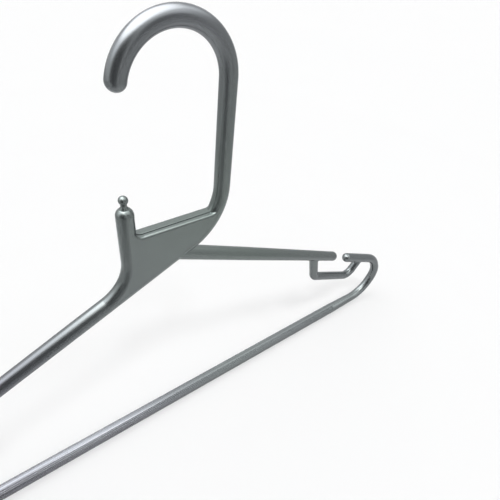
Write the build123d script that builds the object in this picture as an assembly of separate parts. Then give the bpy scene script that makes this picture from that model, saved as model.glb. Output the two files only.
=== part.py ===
from build123d import *
from math import cos, radians, sin, tan
import os

# Trouser hanger, moulded in one piece, in millimetres. Its mid-plane is Y = 0, X runs along the bar and the
# bar rests on Z = 0. Every limb is a round rod that follows a line in the mid-plane. The moulding is given
# in sections that meet face to face.

# Rods
rod_d = 8.1
arm_tip_d = 7.15
loop_step = 0.8

# Trouser bar: an oval with a flat underside and grip grooves along both flanks
bar_depth = 8.35
bar_crown = 3.8
bar_flat_cut = 0.2
bar_end_length = 24.0
groove_d = 0.9
groove_turn = 15.0
groove_first_turn = 25.0
grooves_per_flank = 2

# Arms, which slope down from the apex over the middle of the bar to the strap gaps
arm_slope = 24.8
arm_length = 149.5
strap_gap = 15.1

# Shoulder ends, which carry each arm's line round into the bar; heights are above the bar's axis
shoulder_run = 48.7
shoulder_rise = 40.65
end_rise = 21.55
stub_drop = 0.9
drop_angle = 61.4
return_angle = 118.4
end_bend_share = 0.415
shoulder_bend_share = 0.768
return_bend_share = 0.9
return_straight = 2.0

# Strap loops under the arms
loop_start_inset = 28.0
loop_start_lean = 39.6
loop_end_inset = 24.1
loop_end_lean = 9.5
loop_drop = 18.55
loop_start_bend = 5.35
loop_end_bend_share = 0.56
root_fillet = 1.2
root_margin = 0.7

# Centre plate with the seat between the post and the stem; the seat's height is above the apex
plate_bend = 31.6
plate_inset = 0.05
cusp_turn = 6.0
seat_rise = 18.9
seat_span = 50.5
seat_corner = 4.7
seat_edge = 1.4
post_wall = 2.45
post_wall_inset = 2.2
stem_wall_inset = 3.5
foot_top_inset = 1.7
rib_width = 2.4
rib_height = 0.4
rib_edge = 0.2

# Hook
hook_offset = 1.15
hook_bend = 24.45
hook_sweep = 168.7
hook_stem = 32.4
plate_stem = 18.8

# Marker post with its ball
post_d = 8.2
post_sunk_d = 8.0
post_bend = 25.75
post_height = 9.0
ball_d = 4.3
ball_rise = 3.65
neck_d = 2.85
collar_d = 4.3
collar_height = 1.2

# Values that follow from the sizes above
quarter_turn = 90.0
rod_r = rod_d / 2
arm_tip_r = arm_tip_d / 2
loop_r = (arm_tip_d - loop_step) / 2
slope = radians(arm_slope)
upright = radians(quarter_turn)
bar_z = bar_crown - bar_flat_cut
stub_start = arm_length + strap_gap
shoulder_along = stub_start + shoulder_run
apex_z = bar_z + shoulder_rise + shoulder_along * sin(slope) + stub_drop * cos(slope)
loop_start = arm_length - loop_start_inset
loop_end = stub_start + loop_end_inset
loop_cut = rod_r + root_fillet + root_margin
stem_x = hook_offset + hook_bend
post_x = stem_x - seat_span
seat_z = apex_z + seat_rise
post_foot_z = seat_z + seat_corner + post_wall
post_top_z = post_foot_z + post_height
ball_z = post_top_z + ball_rise


def place(x, z):
    """A point of the mid-plane."""
    return Vector(x, 0, z)


def on_arm(along, below, side):
    """A point so far along an arm from the apex and so far below its axis; side is 1 or -1."""
    x = along * cos(slope) - below * sin(slope)
    z = apex_z - along * sin(slope) - below * cos(slope)
    return place(side * x, z)


def arm_plane(side, along):
    """The plane square to an arm at a distance from the apex, facing outwards."""
    direction = Vector(side * cos(slope), 0, -sin(slope))
    return Plane(origin=on_arm(along, 0, side), x_dir=(0, 1, 0), z_dir=direction)


def on_line(start, angle, height):
    """Where a line of the mid-plane, running down at an angle outwards, reaches a height."""
    return place(start.X + (start.Z - height) / tan(radians(angle)), height)


def rod(path, radius, end_radius=None):
    """A round rod along a path, which may change its radius evenly."""
    first = Plane(origin=path @ 0, z_dir=path % 0) * Circle(radius)
    if end_radius is None:
        return sweep(first, path=path)
    last = Plane(origin=path @ 1, z_dir=path % 1) * Circle(end_radius)
    return sweep([first, last], path=path, multisection=True)


def straight_rod(plane, length, start_r, end_r):
    """A straight rod that leaves a plane and may taper."""
    seat = (Align.CENTER, Align.CENTER, Align.MIN)
    if start_r == end_r:
        return plane * Cylinder(start_r, length, align=seat)
    return plane * Cone(start_r, end_r, length, align=seat)


def ball_at(centre, radius):
    """A ball about a point."""
    return Pos(centre.X, centre.Y, centre.Z) * Sphere(radius)


def mirrored(shape):
    """The same piece on the other side of the hanger."""
    return mirror(shape, about=Plane.YZ)


def bend_run(radius):
    """How far from its corner a bend begins that turns from upright to the arm's slope."""
    return radius * tan((upright - slope) / 2)


def stem_corner():
    """Where the stem's line meets the left arm's line, carried on past the apex."""
    return place(stem_x, apex_z + stem_x * tan(slope))


def stem_bend_top():
    """Where the stem's line passes into the plate's bend, level with the top of the stem's slanted foot."""
    return stem_corner() + place(0, bend_run(plate_bend))


def hook_foot():
    """Where the hook's section meets the centre plate's on the stem."""
    return stem_bend_top() + place(0, plate_stem)


def post_corner():
    """Where the post's line meets the left arm's line."""
    return place(post_x, apex_z + post_x * tan(slope))


def left_arm_run(distance):
    """A step of that length along the left arm, outwards and down."""
    return place(-cos(slope), -sin(slope)) * distance


def arm_root():
    """How far from the apex the arms' sections begin: past the post's bend."""
    return bend_run(post_bend) + rod_d - post_x / cos(slope)


def make_hook():
    """The hook's arc with its round tip, and the stem down to the centre plate."""
    foot = hook_foot()
    centre = place(hook_offset, foot.Z + hook_stem)
    turn = radians(hook_sweep)
    tip = centre + place(cos(turn), sin(turn)) * hook_bend
    crown = centre + place(0, hook_bend)
    arc = ThreePointArc(tip, crown, place(stem_x, centre.Z))
    stem = Line(place(stem_x, centre.Z), foot)
    return rod(Wire([arc, stem]), rod_r) + ball_at(tip, rod_r)


def seat_notch(height):
    """The seat's floor at a height, from the post's wall round to the top of the stem's slanted foot."""
    foot_top = stem_bend_top() - place(foot_top_inset, 0)
    foot_share = (height - seat_z) / (foot_top.Z - seat_z)
    inset = stem_wall_inset + (foot_top_inset - stem_wall_inset) * foot_share
    return FilletPolyline(
        place(post_x + post_wall_inset, post_foot_z),
        place(post_x + post_wall_inset, height),
        place(stem_x - inset, height),
        foot_top,
        radius=seat_corner,
    )


def plate_outline(notch):
    """The plate between the rods' lines, with the seat's notch cut into its top."""
    stem_top = stem_bend_top()
    stem_foot = stem_corner() + left_arm_run(bend_run(plate_bend))
    stem_centre = stem_top - place(plate_bend, 0)
    stem_middle = (slope - upright) / 2
    stem_bend_middle = stem_centre + place(cos(stem_middle), sin(stem_middle)) * plate_bend
    post_bend_top = post_corner() + place(0, bend_run(post_bend))
    post_centre = post_bend_top - place(post_bend, 0)
    cusp = slope - upright + radians(cusp_turn)
    post_bend_end = post_centre + place(cos(cusp), sin(cusp)) * post_bend
    post_bend_middle = post_centre + place(cos(cusp / 2), sin(cusp / 2)) * post_bend
    cusp_foot = place(post_bend_end.X, apex_z + post_bend_end.X * tan(slope))
    return Wire([
        *notch.edges(),
        Line(notch @ 1, stem_top),
        ThreePointArc(stem_top, stem_bend_middle, stem_foot),
        Line(stem_foot, cusp_foot),
        Line(cusp_foot, post_bend_end),
        ThreePointArc(post_bend_end, post_bend_middle, post_bend_top),
        Line(post_bend_top, place(post_x, post_foot_z)),
        Line(place(post_x, post_foot_z), notch @ 0),
    ])


def slab(outline, thickness):
    """A plate about the mid-plane with the given outline."""
    return extrude(make_face(outline), thickness / 2, dir=(0, 1, 0), both=True)


def is_seat_edge(edge, half):
    """Whether an edge of the slab borders the seat's notch on either face."""
    middle = edge.center()
    on_face = abs(abs(middle.Y) - half) < plate_inset
    inside = post_x + plate_inset < middle.X < stem_x - plate_inset
    floor_up = middle.Z > seat_z - plate_inset
    on_post_top = abs(middle.Z - post_foot_z) < plate_inset
    on_foot_top = middle.Z > stem_bend_top().Z - plate_inset
    return on_face and inside and floor_up and not on_post_top and not on_foot_top


def make_plate():
    """The plate, thickened at its borders by the rods that run on into the hook, the post and the arms."""
    thickness = rod_d - 2 * plate_inset
    web = slab(plate_outline(seat_notch(seat_z)), thickness)
    web = fillet([e for e in web.edges() if is_seat_edge(e, thickness / 2)], seat_edge)
    stem_path = FilletPolyline(hook_foot(), stem_corner(), on_arm(arm_root(), 0, -1), radius=plate_bend)
    post_end = post_corner() + left_arm_run(bend_run(post_bend) + rod_r)
    post_path = FilletPolyline(place(post_x, post_foot_z), post_corner(), post_end, radius=post_bend)
    right_root = straight_rod(arm_plane(1, 0), arm_root(), rod_r, rod_r)
    return rod(stem_path, rod_r) + rod(post_path, post_d / 2, post_sunk_d / 2) + web + right_root


def make_rib(plate):
    """The narrow rib along the seat, which climbs the stem's foot."""
    body = slab(plate_outline(seat_notch(seat_z + rib_height)), rib_width)
    return fillet([e for e in body.edges() if is_seat_edge(e, rib_width / 2)], rib_edge) - plate


def make_post():
    """The round post with a domed top."""
    radius = post_d / 2
    centre_z = post_top_z - radius
    foot = Plane(origin=place(post_x, post_foot_z), z_dir=(0, 0, 1))
    shaft = straight_rod(foot, centre_z - post_foot_z, radius, radius)
    return shaft + ball_at(place(post_x, centre_z), radius)


def make_ball(post):
    """The ball on its waisted neck, which flares to a collar on the post's dome."""
    collar_z = post_top_z - collar_height / 2
    collar = Plane(origin=place(post_x, collar_z), z_dir=(0, 0, 1))
    neck = straight_rod(collar, ball_z - collar_z, neck_d / 2, neck_d / 2)
    flare = straight_rod(collar, collar_height, collar_d / 2, neck_d / 2)
    return neck + flare + ball_at(place(post_x, ball_z), ball_d / 2) - post


def bend_radius(length, turn):
    """The radius of a bend that takes up a length of each line it joins; turn is its angle in degrees."""
    return length / tan(radians(turn) / 2)


def shoulder_path():
    """The shoulder's line, from the stub round and down, then back in along the bar."""
    stub = on_arm(stub_start + arm_tip_r, stub_drop, 1)
    shoulder = on_arm(shoulder_along, stub_drop, 1)
    corner = on_line(shoulder, drop_angle, bar_z + end_rise)
    foot = on_line(corner, return_angle, bar_z)
    drop_run = (corner - shoulder).length
    return_run = (foot - corner).length
    end_length = end_bend_share * min(drop_run, return_run)
    shoulder_length = shoulder_bend_share * (drop_run - end_length)
    return_length = return_bend_share * (return_run - end_length)
    inner = foot - place(return_length + return_straight, 0)
    return FilletPolyline(stub, shoulder, corner, foot, inner, radius=[
        bend_radius(shoulder_length, drop_angle - arm_slope),
        bend_radius(end_length, return_angle - drop_angle),
        bend_radius(return_length, 2 * quarter_turn - return_angle),
    ])


def loop_path():
    """The strap loop's line, from the arm's axis down, along and up to the stub's axis."""
    start = on_arm(loop_start, 0, 1)
    low_start = on_arm(loop_start + loop_drop * tan(radians(loop_start_lean)), loop_drop, 1)
    low_end = on_arm(loop_end - loop_drop * tan(radians(loop_end_lean)), loop_drop, 1)
    end = on_arm(loop_end, stub_drop, 1)
    end_bend = bend_radius(loop_end_bend_share * (end - low_end).length, quarter_turn + loop_end_lean)
    return FilletPolyline(start, low_start, low_end, end, radius=[loop_start_bend, end_bend])


def below_arm(point):
    """How far a point of the right side lies below the arm's axis."""
    return (apex_z - point.Z) * cos(slope) - point.X * sin(slope)


def is_root_edge(edge):
    """Whether an edge is a seam where a leg of the strap loop meets the arm or the stub."""
    box = edge.bounding_box()
    plain = edge.geom_type in (GeomType.LINE, GeomType.CIRCLE)
    return not plain and box.size.Y > loop_r and 0 < below_arm(box.center()) < loop_cut


def loop_zone():
    """A block that holds the strap loop below the cut, and nothing of the arm or the shoulder."""
    depth = loop_drop + rod_d - loop_cut
    span = loop_end - loop_start + 2 * rod_d
    middle = on_arm((loop_start + loop_end) / 2, loop_cut + depth / 2, 1)
    frame = Plane(origin=middle, x_dir=(cos(slope), 0, -sin(slope)), z_dir=(0, 1, 0))
    return frame * Box(span, depth, 2 * rod_d)


def make_side():
    """The right arm, strap loop and shoulder: one body with filleted roots, cut into its three pieces."""
    taper = arm_length - arm_tip_r - arm_root()
    arm = straight_rod(arm_plane(1, arm_root()), taper, rod_r, arm_tip_r)
    arm += ball_at(on_arm(arm_length - arm_tip_r, 0, 1), arm_tip_r)
    path = shoulder_path()
    shoulder = rod(path, arm_tip_r) + ball_at(path @ 0, arm_tip_r)
    whole = arm + rod(loop_path(), loop_r) + shoulder
    whole = fillet([e for e in whole.edges() if is_root_edge(e)], root_fillet)
    loop = whole & loop_zone()
    arm, shoulder = (whole - loop_zone()).solids().sort_by(Axis.X)
    return arm, loop, shoulder


def bar_bounds():
    """The rectangle that the bar's flat underside and its crown lie in, in the plane square to the bar."""
    return Pos(0, bar_flat_cut / 2) * Rectangle(bar_depth, bar_crown + bar_z)


def bar_section(grooves):
    """The bar's grooved oval with its flat underside, in the plane square to the bar."""
    section = Ellipse(bar_depth / 2, bar_crown) & bar_bounds()
    for side in (-1, 1):
        for index in range(grooves):
            turn = radians(groove_first_turn + index * groove_turn)
            section -= Pos(side * bar_depth / 2 * sin(turn), bar_crown * cos(turn)) * Circle(groove_d / 2)
    return section


def bar_plane():
    """The plane square to the bar where its grooved stretch ends, with the bar's axis at its origin."""
    end_x = (shoulder_path() @ 1).X - bar_end_length
    return Plane(origin=(end_x, 0, bar_z), x_dir=(0, 1, 0), z_dir=(1, 0, 0))


def make_bar():
    """The grooved stretch of the trouser bar."""
    end = bar_plane()
    return extrude(end * bar_section(grooves_per_flank), 2 * end.origin.X, dir=(-1, 0, 0))


def make_bar_end():
    """The stretch in which the bar's oval turns into the shoulder's round rod."""
    start = bar_plane()
    finish = start.offset(bar_end_length)
    shape = loft([start * Ellipse(bar_depth / 2, bar_crown), finish * Circle(arm_tip_r)])
    return shape & extrude(start * bar_bounds(), bar_end_length)


def main():
    plate = make_plate()
    post = make_post()
    pieces = {
        "hook": make_hook(),
        "centre_plate": plate,
        "seat_rib": make_rib(plate),
        "marker_post": post,
        "marker_ball": make_ball(post),
        "trouser_bar": make_bar(),
    }
    arm, loop, shoulder = make_side()
    right = {"arm": arm, "strap_loop": loop, "shoulder": shoulder, "bar_end": make_bar_end()}
    for name, piece in right.items():
        pieces["right_" + name] = piece
        pieces["left_" + name] = mirrored(piece)
    os.makedirs("parts", exist_ok=True)
    for name, piece in pieces.items():
        export_step(piece, "parts/" + name + ".step")


main()
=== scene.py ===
import bpy
from math import cos, radians, sin
from mathutils import Matrix, Vector

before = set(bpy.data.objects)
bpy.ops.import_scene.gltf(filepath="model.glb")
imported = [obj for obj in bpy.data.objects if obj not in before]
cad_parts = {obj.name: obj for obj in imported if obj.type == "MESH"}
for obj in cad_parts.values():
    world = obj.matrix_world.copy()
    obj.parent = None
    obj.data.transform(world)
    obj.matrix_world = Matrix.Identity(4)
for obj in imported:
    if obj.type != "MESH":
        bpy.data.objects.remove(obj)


def note_size():
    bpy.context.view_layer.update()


note_size()

# Lengths are in metres and angles in degrees. A bearing is 0 along +Y and 90 along +X, and a height
# that is an angle is 0 at the horizon and 90 overhead.

# Camera, fitted to the photo together with the hanger's sizes: close, on the left and above. The lens
# is given as a share of the sensor's width.
camera_place = (-0.079877, -0.146733, 0.276502)
camera_yaw = 41.3552
camera_pitch = 39.6325
camera_roll = 7.2343
camera_lens_share = 0.848534
camera_clip = 0.005
sensor_width = 36.0

# Detail of the noise: plain for the tint that drifts, cloudy for all else
plain_detail = 1.0
cloud_detail = 2.0

# Moulded plastic with a metallic grey finish, slightly cloudy and finely grained. Its tint drifts from
# violet, where the noise is low, to green, where it is high. What it mirrors along its outlines is
# tinted too.
metal_violet = (0.172, 0.1755, 0.192)
metal_green = (0.171, 0.197, 0.187)
metal_share = 0.9
metal_edge = (0.8, 0.8, 0.82)
gloss_low = 0.2
gloss_high = 0.27
tint_scale = 5.0
tint_seed = 97.68
tint_low = 0.42
tint_high = 0.71
cloud_scale = 60.0
grain_scale = 2500.0
grain_depth = 0.000004

# Floor: matt, near white
floor_size = 16.0
floor_light = (0.905, 0.905, 0.905)
floor_deep = (0.895, 0.897, 0.9)
floor_scale = 3.0

# Screens that only the plastic mirrors: dark cloths hung on the camera's side, a dark sheet laid on the
# floor there as painted shade for the floor that lies in shade, the room's darker floor round the white
# sheet, and a bright panel over the hook. The first five numbers of each are its bearing, distance,
# height, width and tilt. The other five are its glow, how solid it is in its middle and at its rim, and
# how far from its middle it begins and ends to change from one to the other.
screens = {
    "hung_cloth": ((-137.0, 0.3, 0.19, 0.5, 90.0), (0.0, 1.0, 0.0, 0.02, 0.25)),
    "front_cloth": ((163.0, 0.36, 0.32, 0.44, 90.0), (0.0, 0.85, 0.0, 0.05, 0.22)),
    # This sheet, laid flat on the floor, is painted shade. It stands for the floor on the camera's side
    # lying in shade, and only the plastic mirrors it.
    "painted_floor_shade": ((-137.0, 0.34, 0.002, 0.62, 0.0), (0.0, 1.0, 0.0, 0.0, 0.31)),
    "room_floor": ((0.0, 0.0, 0.001, 16.0, 0.0), (0.0, 0.0, 0.38, 0.16, 0.36)),
    "hook_panel": ((-60.0, 0.038, 0.325, 0.24, 0.0), (6.2, 1.0, 0.0, 0.045, 0.11)),
}
# Colours and cloud size of the screens: the cloths' own dark colours, which on the sheet laid on the floor
# are painted shade
cloth_and_shade_pale = (0.26, 0.26, 0.27)
cloth_and_shade_deep = (0.22, 0.22, 0.23)
cloth_and_shade_scale = 12.0

# Studio that the plastic mirrors: a pale room with soft round patches of light, each with its bearing,
# height, inner and outer half width, strength and colour
room_light = 1.35
room_colour = (0.99, 1.0, 1.0)
bright_patches = {
    "window": (-30.0, 54.0, 8.0, 24.0, 2.8, (1.02, 1.0, 1.0)),
    "window_right": (2.0, 58.0, 4.0, 16.0, 2.5, (0.96, 1.0, 1.04)),
    "window_low": (-1.0, 38.0, 4.0, 13.0, 1.8, (0.96, 1.0, 1.04)),
    "window_left": (-65.0, 64.0, 6.0, 18.0, 3.2, (1.0, 1.0, 1.0)),
    "ceiling": (-105.0, 68.0, 8.0, 16.0, 4.6, (1.05, 1.0, 0.97)),
    "ceiling_front": (-145.0, 64.0, 8.0, 17.0, 3.6, (1.03, 1.0, 0.98)),
    "left_wall": (-65.0, 46.0, 4.0, 34.0, 1.6, (0.97, 0.98, 1.03)),
    "back": (12.0, 68.0, 10.0, 30.0, 0.35, (0.97, 1.0, 1.0)),
    "front": (125.0, 60.0, 4.0, 50.0, 0.8, (0.99, 1.0, 1.0)),
    "front_light": (115.0, 66.0, 4.0, 16.0, 1.3, (0.99, 1.0, 1.0)),
    "right": (90.0, 40.0, 4.0, 22.0, 0.9, (0.97, 1.0, 1.0)),
}

# Dark patches of the same room, each with its bearing, height, inner and outer half width, and the
# share of the light that it takes away
dark_patches = {
    "viewer": (-132.0, 6.0, 18.0, 52.0, 0.89),
    "far_wall": (40.0, 25.0, 12.0, 36.0, 0.11),
    "right_wall": (100.0, -6.0, 26.0, 60.0, 0.47),
    "ceiling_gap": (20.0, 84.0, 3.0, 14.0, 0.35),
}

# Matt things get an even light from the whole room instead, and the camera sees white past the floor
matt_level = 0.45
backdrop_level = 1.0

# Lamps for matt things, which the plastic doesn't mirror: an even one overhead, three that cast the
# arm's faint shadows, and one for the thin shadow along the bar. Each has its bearing, height, strength
# and angle of softness, and whether it casts shadows.
lamps = {
    "overhead_lamp": (0.0, 90.0, 1.31, 20.0, False),
    "near_lamp": (-167.0, 66.0, 0.3, 9.0, True),
    "front_lamp": (145.0, 58.0, 0.2, 14.0, True),
    "right_lamp": (119.0, 34.0, 0.12, 20.0, True),
    "window_lamp": (-35.0, 60.0, 0.25, 45.0, True),
}

white = (1.0, 1.0, 1.0, 1.0)


def direction(bearing, height):
    """The direction at a bearing and a height above the horizon."""
    turned = radians(bearing)
    raised = radians(height)
    return Vector((sin(turned) * cos(raised), cos(turned) * cos(raised), sin(raised)))


def node(tree, kind, **settings):
    """Adds a shader node and sets its properties."""
    made = tree.nodes.new(kind)
    for name, value in settings.items():
        setattr(made, name, value)
    return made


def new_tree(name):
    """A material of that name with its node tree and its main shader."""
    material = bpy.data.materials.new(name)
    material.use_nodes = True
    tree = material.node_tree
    return material, tree, tree.nodes["Principled BSDF"]


def noise(tree, scale, detail=cloud_detail, seed=0.0):
    """Noise that is fixed to the object, as a socket."""
    place = node(tree, "ShaderNodeTexCoord")
    made = node(tree, "ShaderNodeTexNoise", noise_dimensions="4D")
    made.inputs["W"].default_value = seed
    made.inputs["Scale"].default_value = scale
    made.inputs["Detail"].default_value = detail
    tree.links.new(place.outputs["Object"], made.inputs["Vector"])
    return made.outputs["Fac"]


def mapped(tree, value, low, high, first, last, curve="LINEAR"):
    """A socket's range from low to high turned into the range from first to last."""
    made = node(tree, "ShaderNodeMapRange", interpolation_type=curve)
    made.inputs["From Min"].default_value = low
    made.inputs["From Max"].default_value = high
    made.inputs["To Min"].default_value = first
    made.inputs["To Max"].default_value = last
    tree.links.new(value, made.inputs["Value"])
    return made.outputs["Result"]


def blend(tree, share, first, second):
    """A colour between two others, as a socket."""
    mix = node(tree, "ShaderNodeMix", data_type="RGBA")
    mix.inputs["A"].default_value = (*first, 1)
    mix.inputs["B"].default_value = (*second, 1)
    tree.links.new(share, mix.inputs["Factor"])
    return mix.outputs["Result"]


def moulded_plastic():
    """Metallic grey plastic, a little cloudy, with a fine and barely seen grain."""
    material, tree, shader = new_tree("metallic_grey_plastic")
    shader.inputs["Metallic"].default_value = metal_share
    shader.inputs["Specular Tint"].default_value = (*metal_edge, 1)
    drift = noise(tree, tint_scale, plain_detail, tint_seed)
    share = mapped(tree, drift, tint_low, tint_high, 0, 1)
    tree.links.new(blend(tree, share, metal_violet, metal_green), shader.inputs["Base Color"])
    gloss = mapped(tree, noise(tree, cloud_scale), 0, 1, gloss_low, gloss_high)
    tree.links.new(gloss, shader.inputs["Roughness"])
    bump = node(tree, "ShaderNodeBump")
    bump.inputs["Distance"].default_value = grain_depth
    tree.links.new(noise(tree, grain_scale), bump.inputs["Height"])
    tree.links.new(bump.outputs["Normal"], shader.inputs["Normal"])
    return material


def matt_tree(name, light, deep, scale):
    """A matt material with faint clouds, with its node tree and its main shader."""
    material, tree, shader = new_tree(name)
    tree.links.new(blend(tree, noise(tree, scale), deep, light), shader.inputs["Base Color"])
    shader.inputs["Roughness"].default_value = 1.0
    shader.inputs["Specular IOR Level"].default_value = 0.0
    return material, tree, shader


def faded_screen(name, glow, middle, rim, start, end):
    """A screen, dark or glowing, that fades between its middle and its rim. It serves the dark cloths, the
    sheet of painted shade on the floor, the room's darker floor and the bright panel.
    """
    material, tree, shader = matt_tree(name, cloth_and_shade_pale, cloth_and_shade_deep, cloth_and_shade_scale)
    shader.inputs["Emission Color"].default_value = white
    shader.inputs["Emission Strength"].default_value = glow
    place = node(tree, "ShaderNodeTexCoord")
    reach = node(tree, "ShaderNodeVectorMath", operation="LENGTH")
    tree.links.new(place.outputs["Object"], reach.inputs[0])
    fade = mapped(tree, reach.outputs["Value"], start, end, middle, rim, "SMOOTHSTEP")
    tree.links.new(fade, shader.inputs["Alpha"])
    return material


def add_sheet(name, size, material):
    """A flat square sheet that isn't part of the hanger."""
    bpy.ops.mesh.primitive_plane_add(size=size)
    sheet = bpy.context.object
    sheet.name = name
    sheet.data.materials.append(material)
    return sheet


def add_floor():
    """A wide floor that the bar stands on."""
    paint, _, _ = matt_tree("floor_paint", floor_light, floor_deep, floor_scale)
    add_sheet("floor", floor_size, paint)


def add_screens():
    """The dark cloths, the dark sheet of painted shade on the floor, the room's darker floor and the
    bright panel.
    """
    for name, (place, screen_glow_and_fade) in screens.items():
        bearing, distance, height, width, tilt = place
        screen = add_sheet(name, width, faded_screen(name, *screen_glow_and_fade))
        screen.location = direction(bearing, 0) * distance + Vector((0, 0, height))
        screen.rotation_euler = (radians(tilt), 0, -radians(bearing))
        screen.visible_camera = False
        screen.visible_diffuse = False
        screen.visible_shadow = False


def add_lamps():
    """The lamps for matt things."""
    for name, (bearing, height, strength, softness, shadow) in lamps.items():
        data = bpy.data.lights.new(name, "SUN")
        data.energy = strength
        data.angle = radians(softness)
        data.use_shadow = shadow
        lamp = bpy.data.objects.new(name, data)
        bpy.context.collection.objects.link(lamp)
        lamp.rotation_euler = direction(bearing, height).to_track_quat("Z", "Y").to_euler()
        lamp.visible_glossy = False


def patch_share(tree, look, bearing, height, inner, outer):
    """How much a direction lies within a soft round patch, as a socket."""
    dot = node(tree, "ShaderNodeVectorMath", operation="DOT_PRODUCT")
    dot.inputs[1].default_value = direction(bearing, height)
    tree.links.new(look, dot.inputs[0])
    rim = cos(radians(outer))
    middle = cos(radians(inner))
    return mapped(tree, dot.outputs["Value"], rim, middle, 0, 1, "SMOOTHSTEP")


def lit_room(tree):
    """The light that comes from each direction, as a socket: the room with its bright and dark patches."""
    look = node(tree, "ShaderNodeTexCoord").outputs["Generated"]
    base = node(tree, "ShaderNodeCombineXYZ")
    for index, part in enumerate(room_colour):
        base.inputs[index].default_value = room_light * part
    total = base.outputs[0]
    for bearing, height, inner, outer, strength, colour in bright_patches.values():
        share = patch_share(tree, look, bearing, height, inner, outer)
        scaled = node(tree, "ShaderNodeVectorMath", operation="SCALE")
        scaled.inputs[0].default_value = [strength * part for part in colour]
        tree.links.new(share, scaled.inputs["Scale"])
        added = node(tree, "ShaderNodeVectorMath", operation="ADD")
        tree.links.new(total, added.inputs[0])
        tree.links.new(scaled.outputs[0], added.inputs[1])
        total = added.outputs[0]
    for bearing, height, inner, outer, depth in dark_patches.values():
        share = patch_share(tree, look, bearing, height, inner, outer)
        darkened = node(tree, "ShaderNodeVectorMath", operation="SCALE")
        tree.links.new(total, darkened.inputs[0])
        tree.links.new(mapped(tree, share, 0, 1, 1, 1 - depth), darkened.inputs["Scale"])
        total = darkened.outputs[0]
    return total


def even_light(tree, strength):
    """White light of one strength from all directions, as a socket."""
    made = node(tree, "ShaderNodeBackground")
    made.inputs["Color"].default_value = white
    made.inputs["Strength"].default_value = strength
    return made.outputs["Background"]


def by_ray(tree, kind, others, own):
    """What rays of one kind see, and what all others see instead, as a socket."""
    path = node(tree, "ShaderNodeLightPath")
    mix = node(tree, "ShaderNodeMixShader")
    tree.links.new(path.outputs[kind], mix.inputs["Fac"])
    tree.links.new(others, mix.inputs[1])
    tree.links.new(own, mix.inputs[2])
    return mix.outputs["Shader"]


def add_studio():
    """The room that lights the hanger, plain white where the camera sees past the floor."""
    world = bpy.data.worlds.new("studio")
    bpy.context.scene.world = world
    world.use_nodes = True
    tree = world.node_tree
    tree.nodes.clear()
    room = node(tree, "ShaderNodeBackground")
    tree.links.new(lit_room(tree), room.inputs["Color"])
    lit = by_ray(tree, "Is Glossy Ray", even_light(tree, matt_level), room.outputs["Background"])
    shown = by_ray(tree, "Is Camera Ray", lit, even_light(tree, backdrop_level))
    out = node(tree, "ShaderNodeOutputWorld")
    tree.links.new(shown, out.inputs["Surface"])


def add_camera():
    """The camera at the photo's place, turned by its yaw, pitch and roll."""
    data = bpy.data.cameras.new("camera")
    data.sensor_width = sensor_width
    data.lens = camera_lens_share * sensor_width
    data.clip_start = camera_clip
    camera = bpy.data.objects.new("camera", data)
    bpy.context.collection.objects.link(camera)
    ahead = direction(camera_yaw, -camera_pitch)
    level = Vector((cos(radians(camera_yaw)), -sin(radians(camera_yaw)), 0))
    upright = level.cross(ahead)
    roll = radians(camera_roll)
    right = cos(roll) * level + sin(roll) * upright
    up = cos(roll) * upright - sin(roll) * level
    turn = Matrix((right, up, -ahead)).transposed()
    camera.matrix_world = Matrix.Translation(camera_place) @ turn.to_4x4()
    bpy.context.scene.camera = camera


plastic = moulded_plastic()
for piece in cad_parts.values():
    piece.data.materials.clear()
    piece.data.materials.append(plastic)
add_floor()
add_screens()
add_lamps()
add_studio()
add_camera()
bpy.context.scene.view_settings.view_transform = "Standard"
note_size()
